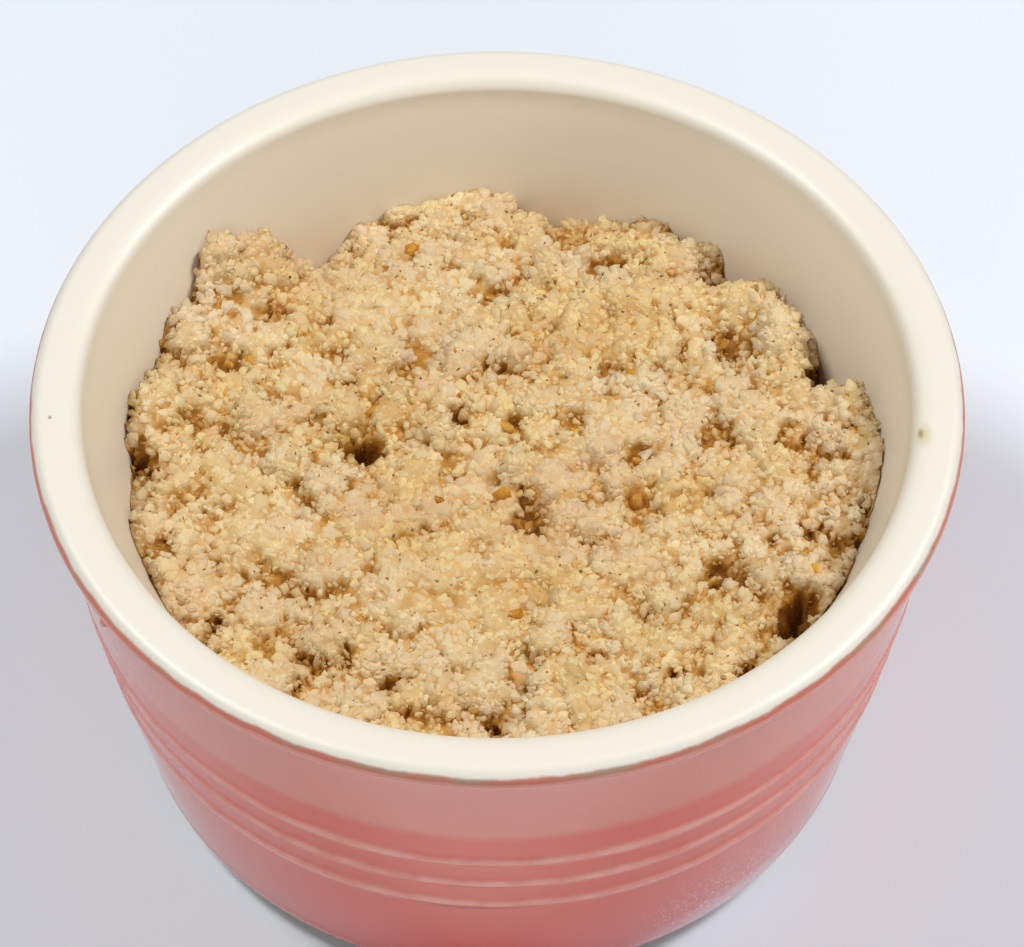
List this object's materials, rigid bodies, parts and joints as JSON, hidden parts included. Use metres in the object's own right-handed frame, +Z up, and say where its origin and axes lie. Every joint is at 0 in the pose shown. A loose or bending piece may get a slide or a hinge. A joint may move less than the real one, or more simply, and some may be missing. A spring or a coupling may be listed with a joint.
{
  "type": "ramekin of crushed pecan brittle",
  "caption": "Round glazed stoneware ramekin with raised lines round its wall, filled to below the rim with loose crumbs of crushed pecan brittle.",
  "frame": {"origin": "under the middle of the dish, on the surface that it stands on", "axes": "+Z up along the dish's axis, -Y towards the viewer, +X to the viewer's right"},
  "size_m": [0.092, 0.092, 0.05],
  "materials": {
    "glaze": "glossy glaze, coral outside and cream inside",
    "brittle": "rough ground crumb with a slight sugar gloss"
  },
  "bodies": {
    "root": {"ramekin": "glaze", "crumbs": "brittle"}
  },
  "joints": []
}
